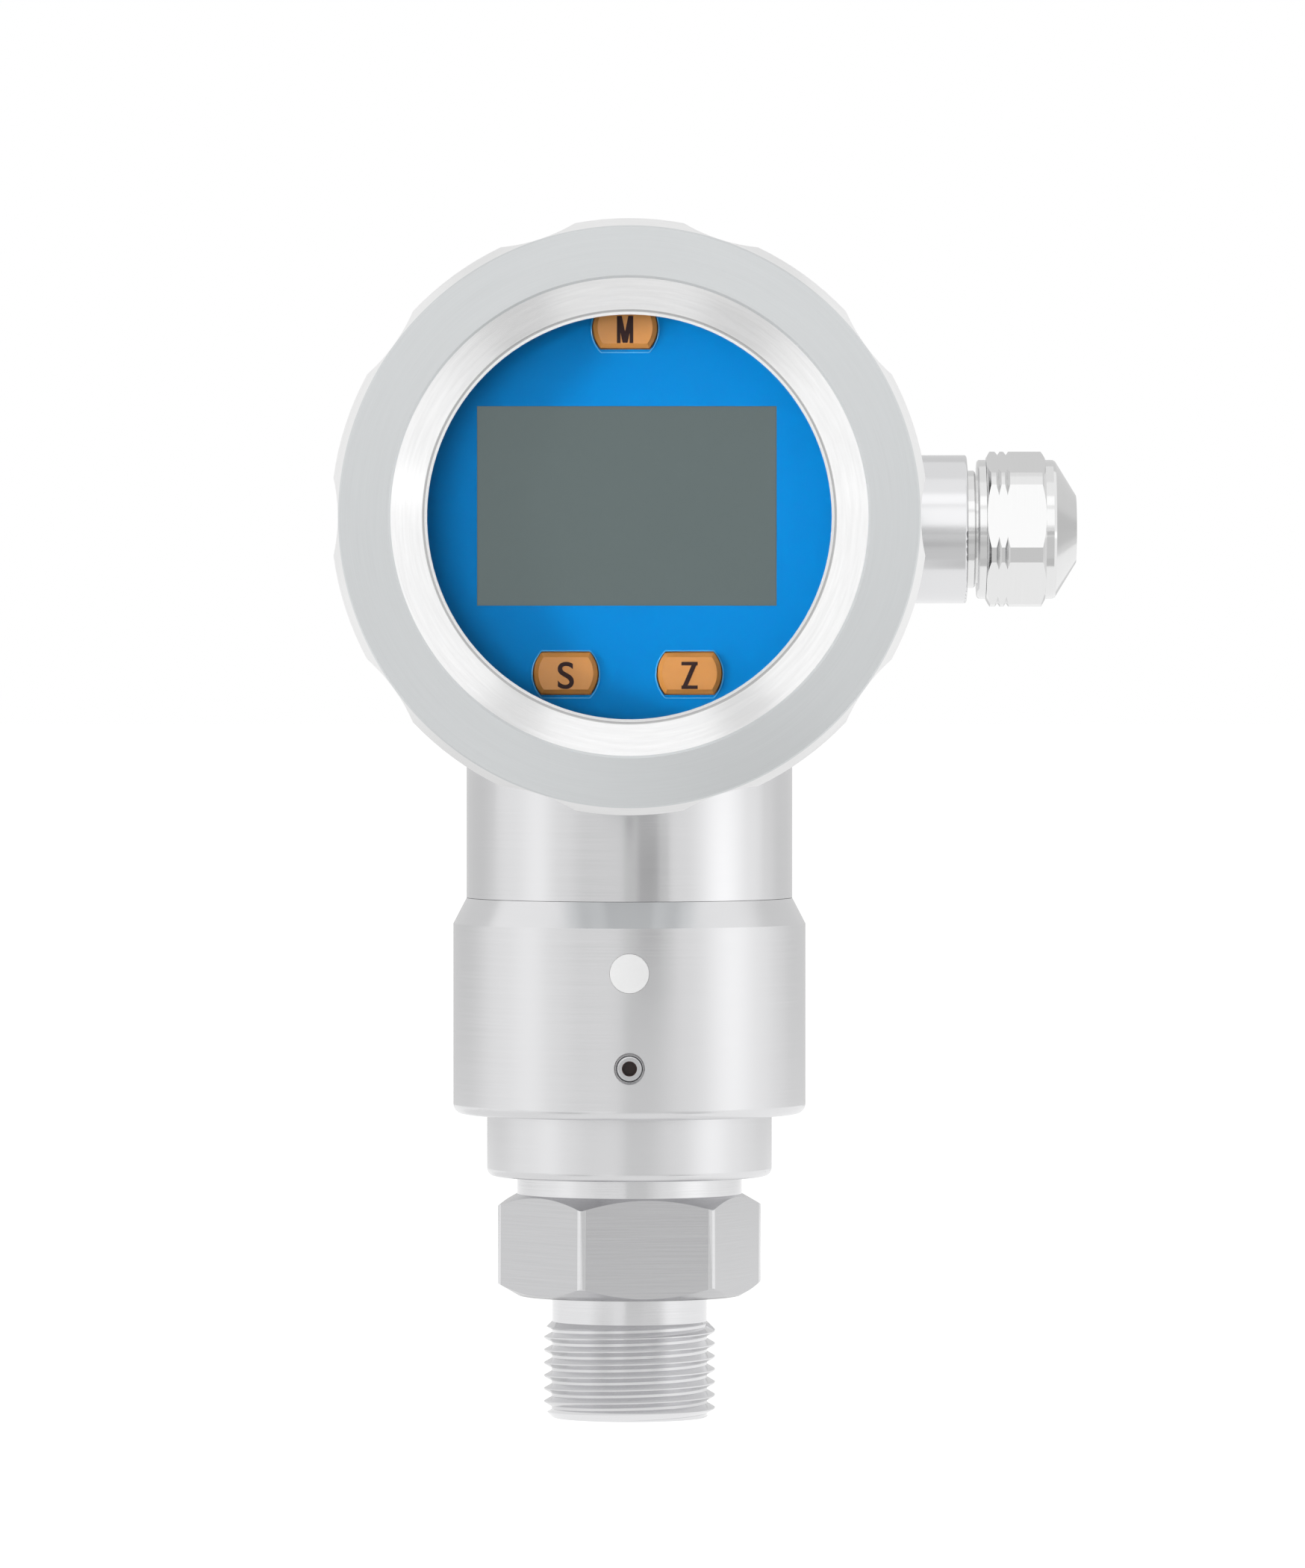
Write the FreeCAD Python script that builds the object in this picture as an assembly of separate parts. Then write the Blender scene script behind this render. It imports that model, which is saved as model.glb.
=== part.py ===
"""Pressure transmitter with a round display head, a turned sensor body and an M20 process connection.

Millimetres. The transmitter stands on its thread, which points down: +Z runs up the stem, the display
looks along -Y and the cable gland leaves along +X. The origin is the centre of the thread's end face.
Pieces of the head are drawn with their height running out of the display, as (right, up, forward).
Pieces of the gland are drawn with their height running out of the gland.
"""

import FreeCAD, Part

import math
import os

from FreeCAD import Vector

# Process connection
thread_d = 20.0
thread_length = 10.3
thread_end_chamfer = 1.0
relief_depth = 0.95
relief_length = 4.0
hex_across_flats = 27.0
hex_height = 12.0
hex_end_inset = 0.5
hex_angle = -81.3
shoulder_inset = 0.35
shoulder_height = 2.0
joint_wall = 1.95
joint_height = 6.0
port_d = 5.0

# Sensor body
step_wall = 1.65
step_height = 7.3
step_round = 0.9
collar_d = 41.2
collar_wall = 3.05
collar_height = 22.2
collar_top_chamfer = 3.0
collar_round = 1.1
board_ledge = 3.5
board_room_height = 4.4

# Pressure cell and the board above it
cell_d = 19.0
cell_height = 13.0
cell_rim_height = 1.2
cell_diaphragm_d = 15.0
cell_diaphragm_depth = 0.4
cell_groove_from_bottom = 3.4
cell_groove_depth = 1.5
cell_pin_d = 0.5
cell_pin_circle_d = 6.0
cell_pin_count = 5
cell_pin_angle = 90.0
clamp_ring_height = 2.8
clamp_ring_recess = 1.0
clamp_ring_bore_d = 10.0
clamp_ring_slot = 1.6
clamp_ring_slot_depth = 1.0
spacer_margin = 0.65
spacer_height = 2.0
spacer_count = 3
spacer_angle = 30.0
amplifier_margin = 0.8
board_thickness = 1.6
chip_size = 5.0
chip_height = 1.0
lead_d = 3.2
lead_plug_size = 7.0
lead_plug_height = 4.0

# Locking screw and vent disc in the front of the collar
lock_screw_d = 3.0
lock_screw_length = 4.0
lock_screw_recess = 0.4
lock_screw_point = 0.6
lock_screw_edge = 0.25
lock_screw_socket = 1.5
lock_screw_socket_depth = 1.6
lock_screw_height = 6.0
lock_countersink_margin = 0.35
lock_countersink_depth = 0.35
vent_disc_d = 4.6
vent_disc_depth = 0.8
vent_disc_height = 17.0

# Housing: head, neck and gland boss in one piece
neck_shoulder = 1.55
neck_wall = 3.5
neck_show = 10.4
neck_seal_drop = 4.2
neck_seal_depth = 1.5
spigot_bevel = 0.4
head_step = 2.0
head_front_margin = 0.95
head_back_margin = 2.95
head_back_round = 2.0
head_back_wall = 4.0
cover_thread_length = 6.0
cover_thread_wall = 2.95
cover_seal_depth = 1.45
gland_drop = 1.3
boss_wall = 2.65
boss_length = 7.4
boss_round = 0.3

# Boards and display in the head
pillar_d = 4.4
pillar_inset = 0.4
pillar_count = 4
pillar_angle = 45.0
rear_pillar_height = 8.0
main_board_margin = 1.5
main_chip_size = 10.0
main_chip_height = 2.0
main_chip_places = ((-8.0, -6.0), (-8.0, 8.0))
terminal_width = 10.0
terminal_height = 15.3
terminal_depth = 11.0
terminal_right = 8.0
terminal_up = 4.0
terminal_pole_count = 3
terminal_screw_d = 3.6
terminal_screw_recess = 1.0
terminal_wire_hole_d = 2.6
lead_socket_margin = 3.4
lead_socket_height = 6.0
lead_socket_from_wall = 9.5
ribbon_width = 12.0
ribbon_thickness = 0.6
ribbon_inset = 4.3
display_gap = 2.7
face_margin = 0.5
face_setback = 1.2
face_thickness = 1.2
face_edge_bevel = 0.5
face_skirt_wall = 1.2
face_skirt_height = 6.4
face_screw_d = 1.3
face_screw_head_d = 2.6
face_screw_head_height = 0.7
face_screw_grip = 3.0
screw_slot = 0.5
lcd_side_margin = 5.9
lcd_key_margin = 11.65
lcd_right = -0.3
lcd_up = 1.3
lcd_frame_margin = 1.2
lcd_setback = 0.3

# Keys
key_d = 7.3
key_flats = 4.7
key_proud = 1.2
key_bevel = 0.5
key_flange_margin = 0.5
key_flange_height = 0.8
key_stem_d = 3.2
key_travel = 0.8
top_key_right = -0.5
top_key_inset = 1.35
left_key_right = -7.3
right_key_right = 6.9
lower_key_inset = 5.2
switch_size = 6.0
switch_height = 0.8
switch_plunger_d = 3.0
switch_plunger_height = 0.5

# Front cover and window
cover_d = 68.0
cover_wall = 3.5
cover_edge_chamfer = 1.0
cover_rear_chamfer = 0.4
cover_rear_gap = 0.5
cover_end_gap = 0.34
lobe_count = 10
flute_radius = 19.6
flute_depth = 0.8
rim_width = 6.5
bezel_width = 3.9
bezel_depth = 3.0
bezel_step = 0.4
lip_width = 0.5
lip_thickness = 1.1
glass_overlap = 1.9
glass_thickness = 4.0
glass_edge = 0.3
gasket_thickness = 0.8
gasket_setback = 0.3
retainer_overlap = 1.55
retainer_setback = 1.2
retainer_height = 1.8
retainer_slot = 2.0
retainer_slot_depth = 0.8

# Cable gland
gland_thread_d = 12.0
gland_shoulder_width = 0.85
gland_shoulder_length = 1.0
gland_waist_width = 0.3
gland_waist_length = 0.2
gland_flange_width = 1.5
gland_flange_length = 1.0
gland_edge_bevel = 0.2
gland_stem_width = 0.6
gland_stem_length = 5.2
gland_entry_length = 9.0
gland_bore_margin = 0.7
seal_room_wall = 1.5
seal_room_depth = 4.0
seal_length = 4.2
seal_bevel = 0.5
cable_hole_d = 5.2
thrust_ring_length = 1.2
nut_flat_margin = 0.2
nut_corner_height = 0.8
nut_mouth_inset = 0.5
nut_hex_length = 6.9
nut_hex_angle = -100.5
nut_ring_length = 1.1
nut_cone_length = 2.55
nut_nose_wall = 1.15
nut_hole_margin = 0.2
nut_hole_bevel = 0.5
nut_groove_places = (1.35, 2.35)
nut_groove_width = 0.6
nut_groove_depth = 0.45
boss_seal_section = 1.0

# Clearances
thread_fit = 0.05
running_fit = 0.05
face_gap = 0.05
seal_slack = 0.03
seal_bevel_share = 0.29
groove_width_to_depth = 1.3
window_gap = 0.1
key_clearance = 0.15
lock_point_gap = 0.2
screw_clearance = 0.15

# How far a cutting form runs past the face that it cuts
overrun = 1.0

# Diameters and radii that follow, from the cell outwards
cell_room_r = cell_d / 2 + thread_fit
joint_d = 2 * (cell_room_r + joint_wall)
board_room_d = joint_d + 2 * board_ledge
step_d = board_room_d + 2 * step_wall
spacer_d = board_ledge - 2 * spacer_margin
amplifier_board_d = board_room_d - 2 * amplifier_margin
relief_d = thread_d - 2 * relief_depth
shoulder_d = hex_across_flats - 2 * shoulder_inset
collar_r = collar_d / 2
body_bore_r = collar_r - collar_wall
neck_spigot_d = 2 * (body_bore_r - running_fit)
neck_d = neck_spigot_d + 2 * neck_shoulder
neck_bore_d = neck_spigot_d - 2 * neck_wall
lock_head_r = collar_r - lock_screw_recess
lock_tip_r = lock_head_r - lock_screw_length

# Diameters and radii of the head, from the cover inwards
head_d = cover_d - 2 * head_step
cover_bore_r = cover_d / 2 - cover_wall
cover_thread_d = 2 * (cover_bore_r - running_fit)
head_room_d = cover_thread_d - 2 * cover_thread_wall
face_d = head_room_d - 2 * face_margin
display_board_d = face_d - 2 * face_skirt_wall - 2 * face_margin
pillar_circle_d = display_board_d - 2 * pillar_inset
main_board_d = head_room_d - 2 * main_board_margin
bezel_outer_d = cover_d - 2 * rim_width
bezel_inner_d = bezel_outer_d - 2 * bezel_width
aperture_d = bezel_inner_d - 2 * lip_width
glass_d = aperture_d + 2 * glass_overlap
gasket_bore_d = aperture_d + 2 * gasket_setback
retainer_d = glass_d + 2 * retainer_overlap
retainer_bore_d = aperture_d + 2 * retainer_setback
lcd_width = aperture_d - 2 * lcd_side_margin
lcd_height = aperture_d - 2 * lcd_key_margin
lead_socket_up = lead_socket_from_wall - head_room_d / 2
ribbon_left = display_board_d / 2 - ribbon_inset
lower_key_up = lower_key_inset - aperture_d / 2
key_places = {
    "key_m": (top_key_right, aperture_d / 2 - top_key_inset),
    "key_s": (left_key_right, lower_key_up),
    "key_z": (right_key_right, lower_key_up)}

# Heights of the stack, from the end of the thread up
hex_bottom = thread_length + relief_length
hex_top = hex_bottom + hex_height
body_bottom = hex_top + shoulder_height
collar_bottom = body_bottom + step_height
collar_top = collar_bottom + collar_height
body_top = collar_top + collar_top_chamfer
joint_top = body_bottom + joint_height
board_room_top = joint_top + board_room_height
cell_top = joint_top - clamp_ring_recess - clamp_ring_height
cell_bottom = cell_top - cell_height
amplifier_bottom = joint_top + spacer_height
amplifier_top = amplifier_bottom + board_thickness
lock_screw_z = collar_bottom + lock_screw_height
vent_disc_z = collar_bottom + vent_disc_height
neck_bottom = body_top + face_gap
spigot_bottom = board_room_top + face_gap
head_z = body_top + neck_show + cover_d / 2
gland_z = head_z - gland_drop

# Distances forward of the stem's axis, for the pieces of the head
head_front = neck_d / 2 + head_front_margin
head_back = neck_d / 2 + head_back_margin
spigot_front = head_front + cover_thread_length
room_back = head_back_wall - head_back
main_board_back = room_back + rear_pillar_height
main_board_front = main_board_back + board_thickness
face_front = spigot_front - face_setback
face_back = face_front - face_thickness
display_board_front = face_back - key_flange_height - display_gap - key_travel - switch_plunger_height
display_board_back = display_board_front - board_thickness
key_top = face_front + key_proud
cover_back = head_front + cover_rear_gap
retainer_back = spigot_front + cover_end_gap
retainer_front = retainer_back + retainer_height
gasket_back = retainer_front + seal_slack
glass_back = gasket_back + gasket_thickness
glass_front = glass_back + glass_thickness
lip_back = glass_front + seal_slack
lip_front = lip_back + lip_thickness
bezel_bottom = lip_front + bezel_step
cover_front = bezel_bottom + bezel_depth

# Sizes of the gland, and distances along it from the stem's axis
gland_hole_r = gland_thread_d / 2
gland_shoulder_d = gland_thread_d + 2 * gland_shoulder_width
gland_waist_d = gland_thread_d + 2 * gland_waist_width
gland_stem_d = gland_thread_d + 2 * gland_stem_width
gland_flange_d = gland_stem_d + 2 * gland_flange_width
gland_bore_d = cable_hole_d + 2 * gland_bore_margin
seal_room_d = gland_stem_d - 2 * seal_room_wall
boss_d = gland_thread_d + 2 * boss_wall
nut_bore_r = gland_stem_d / 2 + running_fit
nut_across_flats = gland_flange_d + 2 * nut_flat_margin
nut_corner_d = nut_across_flats + 2 * nut_corner_height
nut_mouth_d = nut_across_flats - 2 * nut_mouth_inset
nut_hole_d = cable_hole_d + 2 * nut_hole_margin
nut_nose_d = nut_hole_d + 2 * nut_nose_wall
boss_reach = head_d / 2 + boss_length
gland_face = boss_reach + gland_shoulder_length + gland_waist_length
gland_stem_start = gland_face + gland_flange_length
gland_stem_end = gland_stem_start + gland_stem_length
seal_start = gland_stem_end - seal_room_depth
seal_end = seal_start + seal_length
nut_start = gland_stem_start + face_gap
nut_hex_end = nut_start + nut_hex_length
nut_ring_end = nut_hex_end + nut_ring_length
nut_end = nut_ring_end + nut_cone_length


def outline(points):
    """A closed flat wire through (radius, height) points.

    A third number works on that corner: above zero it is the radius of a round, and below zero it
    is how far a bevel cuts back along each side.
    """
    spots = [Vector(point[0], 0, point[1]) for point in points]
    edges = []
    sides = []
    for i, point in enumerate(points):
        here = spots[i]
        if len(point) < 3:
            sides.append((here, None, here))
            continue
        back = spots[i - 1] - here
        ahead = spots[(i + 1) % len(points)] - here
        half = back.getAngle(ahead) / 2
        bevelled = point[2] < 0
        wanted = -point[2] if bevelled else point[2] / math.tan(half)
        reach = min(wanted, 0.45 * back.Length, 0.45 * ahead.Length)
        back.normalize()
        ahead.normalize()
        radius = reach * math.tan(half)
        inward = (back + ahead).normalize()
        depth = reach * math.cos(half) if bevelled else radius / math.sin(half) - radius
        sides.append((here + back * reach, here + inward * depth, here + ahead * reach))
    for i, (arrive, middle, leave) in enumerate(sides):
        edges.append(Part.LineSegment(sides[i - 1][2], arrive).toShape())
        if not middle:
            continue
        if points[i][2] < 0:
            edges.append(Part.LineSegment(arrive, leave).toShape())
        else:
            edges.append(Part.Arc(arrive, middle, leave).toShape())
    return Part.Wire(edges)


def turned(points):
    """A solid turned about +Z from a closed outline of (radius, height) points."""
    return Part.Face(outline(points)).revolve(Vector(0, 0, 0), Vector(0, 0, 1), 360)


def rod(diameter, low, high, right=0.0, up=0.0):
    """A round bar along +Z between two heights."""
    return Part.makeCylinder(diameter / 2, high - low, Vector(right, up, low))


def tube(outer_d, inner_d, low, high):
    """A round tube along +Z between two heights."""
    return rod(outer_d, low, high).cut(rod(inner_d, low, high))


def block(width, height, low, high, right=0.0, up=0.0):
    """A rectangular block centred on (right, up) between two heights."""
    corner = Vector(right - width / 2, up - height / 2, low)
    return Part.makeBox(width, height, high - low, corner)


def hexagon(across_flats, low, high, turn=0.0):
    """A hexagonal bar along +Z. turn is the direction of one flat's normal, in degrees from +X."""
    corner_r = across_flats / math.sqrt(3)
    angles = [math.radians(turn + 30 + 60 * i) for i in range(7)]
    corners = [Vector(corner_r * math.cos(a), corner_r * math.sin(a), low) for a in angles]
    return Part.Face(Part.makePolygon(corners)).extrude(Vector(0, 0, high - low))


def seal_ring(inner_r, outer_r, height):
    """A seated O-ring, pressed flat by its groove, with a little slack on each side of the gap."""
    low_r = inner_r + seal_slack
    high_r = outer_r - seal_slack
    half = (high_r - low_r) / 2
    bevel = -2 * half * seal_bevel_share
    return turned([
        (low_r, height - half, bevel), (high_r, height - half, bevel),
        (high_r, height + half, bevel), (low_r, height + half, bevel)])


def around(shape, count, start=0.0):
    """Copies of a shape at even steps about +Z, the first turned by start degrees."""
    copies = []
    for i in range(count):
        copy = shape.copy()
        copy.rotate(Vector(0, 0, 0), Vector(0, 0, 1), start + 360 * i / count)
        copies.append(copy)
    return copies


def in_head(shape):
    """Puts a piece drawn as (right, up, forward) onto the head's axis."""
    shape.rotate(Vector(0, 0, 0), Vector(1, 0, 0), 90)
    shape.translate(Vector(0, 0, head_z))
    return shape


def in_gland(shape):
    """Lays a piece drawn along +Z onto the gland's axis, pointing out along +X."""
    shape.rotate(Vector(0, 0, 0), Vector(0, 1, 0), 90)
    shape.translate(Vector(0, 0, gland_z))
    return shape


def in_front(shape, height):
    """Lays a piece drawn along +Z so that it points out of the collar's front, at this height."""
    shape.rotate(Vector(0, 0, 0), Vector(1, 0, 0), 90)
    shape.translate(Vector(0, 0, height))
    return shape


def process_connection():
    """Turned from hexagon bar: male thread, spanner hexagon, shoulder and a joint into the body."""
    hex_r = hex_across_flats / math.sqrt(3)
    end_r = hex_across_flats / 2 - hex_end_inset
    slope = (hex_r - end_r) * math.tan(math.radians(30))
    nut = hexagon(hex_across_flats, hex_bottom, hex_top, hex_angle).common(turned([
        (0, hex_bottom), (end_r, hex_bottom), (hex_r, hex_bottom + slope),
        (hex_r, hex_top - slope), (end_r, hex_top), (0, hex_top)]))
    stem = turned([
        (0, 0), (thread_d / 2 - thread_end_chamfer, 0), (thread_d / 2, thread_end_chamfer),
        (thread_d / 2, thread_length), (relief_d / 2, thread_length + (thread_d - relief_d) / 2),
        (relief_d / 2, hex_bottom + hex_height / 2), (shoulder_d / 2, hex_bottom + hex_height / 2),
        (shoulder_d / 2, body_bottom), (joint_d / 2, body_bottom), (joint_d / 2, joint_top),
        (0, joint_top)])
    port = turned([
        (0, 0), (port_d / 2, 0), (port_d / 2, cell_bottom), (cell_room_r, cell_bottom),
        (cell_room_r, joint_top), (0, joint_top)])
    return nut.fuse(stem).cut(port).removeSplitter()


def sensor_body():
    """Turned collar that takes the process connection below and the head's neck above."""
    bore_r = joint_d / 2 + thread_fit
    body = turned([
        (bore_r, body_bottom), (step_d / 2, body_bottom, step_round), (step_d / 2, collar_bottom),
        (collar_r, collar_bottom, collar_round), (collar_r, collar_top), (neck_d / 2, body_top),
        (body_bore_r, body_top), (body_bore_r, board_room_top), (board_room_d / 2, board_room_top),
        (board_room_d / 2, joint_top), (bore_r, joint_top)])
    countersink_r = lock_screw_d / 2 + lock_countersink_margin
    lock_hole = turned([
        (0, 0), (lock_screw_d / 2 + thread_fit, 0),
        (lock_screw_d / 2 + thread_fit, collar_r - lock_countersink_depth),
        (countersink_r, collar_r), (countersink_r, collar_r + overrun),
        (0, collar_r + overrun)])
    vent_pocket = rod(vent_disc_d, collar_r - vent_disc_depth, collar_r + overrun)
    return body.cut([in_front(lock_hole, lock_screw_z), in_front(vent_pocket, vent_disc_z)])


def grub_screw():
    """Hex-socket set screw with a cone point, in the collar and reaching into the neck's groove."""
    screw_r = lock_screw_d / 2
    screw = turned([
        (0, lock_tip_r), (screw_r - lock_screw_point, lock_tip_r),
        (screw_r, lock_tip_r + lock_screw_point), (screw_r, lock_head_r, lock_screw_edge), (0, lock_head_r)])
    socket = hexagon(lock_screw_socket, lock_head_r - lock_screw_socket_depth, collar_r, 90)
    return in_front(screw.cut(socket), lock_screw_z)


def vent_disc():
    """White disc pressed into a shallow pocket of the collar and flush with it."""
    disc = rod(vent_disc_d - 2 * seal_slack, collar_r - vent_disc_depth, collar_r + overrun)
    skin = rod(collar_d, collar_bottom, collar_top)
    return in_front(disc, vent_disc_z).common(skin)


def pressure_cell():
    """Oil-filled cell: a steel capsule with a thin diaphragm below and a seal groove round it."""
    groove_low = cell_bottom + cell_groove_from_bottom
    groove_high = groove_low + groove_width_to_depth * cell_groove_depth
    cell_r = cell_d / 2
    return turned([
        (0, cell_bottom + cell_diaphragm_depth), (cell_diaphragm_d / 2, cell_bottom + cell_diaphragm_depth),
        (cell_diaphragm_d / 2, cell_bottom), (cell_r, cell_bottom), (cell_r, groove_low),
        (cell_r - cell_groove_depth, groove_low), (cell_r - cell_groove_depth, groove_high),
        (cell_r, groove_high), (cell_r, cell_top), (clamp_ring_bore_d / 2, cell_top),
        (clamp_ring_bore_d / 2, cell_top - cell_rim_height), (0, cell_top - cell_rim_height)])


def cell_o_ring():
    """Rubber ring that seals the cell in its chamber."""
    middle = cell_bottom + cell_groove_from_bottom + groove_width_to_depth * cell_groove_depth / 2
    return seal_ring(cell_d / 2 - cell_groove_depth, cell_room_r, middle)


def cell_clamp_ring():
    """Threaded ring, slotted across for a key, that holds the cell down."""
    low = cell_top
    high = cell_top + clamp_ring_height
    ring = tube(cell_d, clamp_ring_bore_d, low, high)
    return ring.cut(block(cell_d, clamp_ring_slot, high - clamp_ring_slot_depth, high))


def cell_pins():
    """Glass-sealed pins that carry the cell's signal up to the amplifier board."""
    pin = rod(cell_pin_d, cell_top - cell_rim_height, amplifier_bottom, cell_pin_circle_d / 2)
    return Part.Compound(around(pin, cell_pin_count, cell_pin_angle))


def amplifier_spacers():
    """Round spacers that hold the amplifier board above the floor of the body."""
    circle_r = (joint_d + board_ledge) / 2
    spacer = rod(spacer_d, joint_top, amplifier_bottom, circle_r)
    return Part.Compound(around(spacer, spacer_count, spacer_angle))


def amplifier_board():
    """Round circuit board with two chips and the socket of the sensor lead on top."""
    board = rod(amplifier_board_d, amplifier_bottom, amplifier_top)
    plug = block(lead_plug_size, lead_plug_size, amplifier_top, amplifier_top + lead_plug_height)
    chips = [
        block(chip_size, chip_size, amplifier_top, amplifier_top + chip_height, side * lead_plug_size)
        for side in (-1, 1)]
    return board.fuse([plug] + chips)


def sensor_lead():
    """Straight lead up the middle of the neck, from the amplifier to the main board's socket."""
    return rod(lead_d, amplifier_top + lead_plug_height, head_z + lead_socket_up - lead_socket_height / 2)


def neck_spigot_grooves():
    """The two rings cut out of the neck's spigot: the locking groove and the seal's groove."""
    spigot_r = neck_spigot_d / 2
    half = lock_screw_d / 2 + lock_point_gap
    floor_r = lock_tip_r - lock_point_gap
    lock = turned([
        (floor_r, lock_screw_z - half), (spigot_r + overrun, lock_screw_z - half),
        (spigot_r + overrun, lock_screw_z + half), (floor_r, lock_screw_z + half)])
    seal_z = neck_bottom - neck_seal_drop
    half = groove_width_to_depth * neck_seal_depth / 2
    seal = turned([
        (spigot_r - neck_seal_depth, seal_z - half), (spigot_r + overrun, seal_z - half),
        (spigot_r + overrun, seal_z + half), (spigot_r - neck_seal_depth, seal_z + half)])
    return [lock, seal]


def cover_seal_width():
    """Width of the groove for the cover's seal, at the root of the cover's thread."""
    return groove_width_to_depth * cover_seal_depth


def housing():
    """Head, neck and gland boss in one piece: the rooms are bored out of the joined forms."""
    head = in_head(turned([
        (0, -head_back), (head_d / 2, -head_back, head_back_round), (head_d / 2, head_front),
        (cover_thread_d / 2 - cover_seal_depth, head_front),
        (cover_thread_d / 2 - cover_seal_depth, head_front + cover_seal_width()),
        (cover_thread_d / 2, head_front + cover_seal_width()),
        (cover_thread_d / 2, spigot_front, -spigot_bevel),
        (0, spigot_front)]))
    neck = turned([
        (0, spigot_bottom), (neck_spigot_d / 2, spigot_bottom, -spigot_bevel),
        (neck_spigot_d / 2, neck_bottom),
        (neck_d / 2, neck_bottom), (neck_d / 2, head_z), (0, head_z)])
    boss = in_gland(turned([
        (0, 0), (boss_d / 2, 0), (boss_d / 2, boss_reach, boss_round), (0, boss_reach)]))
    room = in_head(rod(head_room_d, room_back, spigot_front + overrun))
    neck_bore = rod(neck_bore_d, spigot_bottom - overrun, head_z)
    seal_seat = boss_seal_section + seal_slack
    gland_hole = in_gland(turned([
        (0, 0), (gland_hole_r, 0), (gland_hole_r, boss_reach - seal_seat),
        (gland_hole_r + seal_seat, boss_reach - seal_seat), (gland_hole_r + seal_seat, boss_reach + overrun),
        (0, boss_reach + overrun)]))
    whole = head.fuse([neck, boss])
    return whole.cut([room, neck_bore, gland_hole] + neck_spigot_grooves()).removeSplitter()


def neck_o_ring():
    """Rubber ring in the neck's spigot that seals it in the collar."""
    spigot_r = neck_spigot_d / 2
    return seal_ring(spigot_r - neck_seal_depth, body_bore_r, neck_bottom - neck_seal_drop)


def cover_o_ring():
    """Rubber ring at the root of the cover's thread."""
    middle = head_front + cover_seal_width() / 2
    return in_head(seal_ring(cover_thread_d / 2 - cover_seal_depth, cover_bore_r, middle))


def rear_pillars():
    """Pillars from the head's back wall to the main board."""
    pillar = rod(pillar_d, room_back, main_board_back, pillar_circle_d / 2)
    return in_head(Part.Compound(around(pillar, pillar_count, pillar_angle)))


def main_board():
    """Round main circuit board with its two larger chips."""
    board = rod(main_board_d, main_board_back, main_board_front)
    top = main_board_front + main_chip_height
    chips = [
        block(main_chip_size, main_chip_size, main_board_front, top, right, up)
        for right, up in main_chip_places]
    return in_head(board.fuse(chips))


def terminal_pole_heights():
    """Height of each terminal's centre on the head's up direction."""
    pitch = terminal_height / terminal_pole_count
    first = terminal_up - terminal_height / 2 + pitch / 2
    return [first + pitch * i for i in range(terminal_pole_count)]


def terminal_block():
    """Screw terminals for the field wires: wells in front for the screws, holes beside for the wires."""
    front = main_board_front + terminal_depth
    body = block(terminal_width, terminal_height, main_board_front, front, terminal_right, terminal_up)
    hole_level = main_board_front + terminal_depth / 3
    for up in terminal_pole_heights():
        well = rod(
            terminal_screw_d + 2 * screw_clearance, front - terminal_depth / 3, front, terminal_right, up)
        entry = Part.makeCylinder(
            terminal_wire_hole_d / 2, terminal_width / 2, Vector(terminal_right, up, hole_level),
            Vector(1, 0, 0))
        body = body.cut([well, entry])
    return in_head(body)


def terminal_screws():
    """Slotted clamping screws, one in each well of the terminal block."""
    top = main_board_front + terminal_depth - terminal_screw_recess
    low = main_board_front + terminal_depth * 2 / 3
    screws = []
    for up in terminal_pole_heights():
        screw = rod(terminal_screw_d, low, top, terminal_right, up)
        slot = block(terminal_screw_d, screw_slot, top - screw_slot, top, terminal_right, up)
        screws.append(screw.cut(slot))
    return in_head(Part.Compound(screws))


def lead_socket():
    """Socket on the main board that the sensor lead plugs into from below."""
    return in_head(block(
        lead_d + 2 * lead_socket_margin, lead_socket_height, main_board_front,
        lead_d / 2 + lead_socket_margin, 0, lead_socket_up))


def display_pillars():
    """Pillars from the main board to the display board."""
    hole_low = display_board_back - face_screw_grip - face_gap
    pillar = rod(pillar_d, main_board_front, display_board_back, pillar_circle_d / 2)
    pillar = pillar.cut(screw_hole(thread_fit, hole_low, display_board_back))
    return in_head(Part.Compound(around(pillar, pillar_count, pillar_angle)))


def display_ribbon():
    """Flat ribbon that joins the two boards."""
    return in_head(block(
        ribbon_thickness, ribbon_width, main_board_front, display_board_back, -ribbon_left))


def screw_hole(clearance, low, high):
    """The first of the holes for the face screws."""
    return rod(face_screw_d + 2 * clearance, low, high, pillar_circle_d / 2)


def display_board():
    """Round circuit board that carries the display and the key switches."""
    board = rod(display_board_d, display_board_back, display_board_front)
    hole = screw_hole(screw_clearance, display_board_back, display_board_front)
    return in_head(board.cut(around(hole, pillar_count, pillar_angle)))


def key_switches():
    """A small square push switch behind each key."""
    switches = []
    for right, up in key_places.values():
        top = display_board_front + switch_height
        base = block(switch_size, switch_size, display_board_front, top, right, up)
        plunger = rod(switch_plunger_d, top, top + switch_plunger_height, right, up)
        switches.append(base.fuse(plunger))
    return in_head(Part.Compound(switches))


def lcd():
    """Display cell: a thick frame behind the face and a glass that stands in the face's window."""
    frame_width = lcd_width + 2 * lcd_frame_margin
    frame_height = lcd_height + 2 * lcd_frame_margin
    frame = block(frame_width, frame_height, display_board_front, face_back, lcd_right, lcd_up)
    glass = block(
        lcd_width - 2 * window_gap, lcd_height - 2 * window_gap, face_back, face_front - lcd_setback,
        lcd_right, lcd_up)
    return in_head(frame.fuse(glass).removeSplitter())


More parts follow.
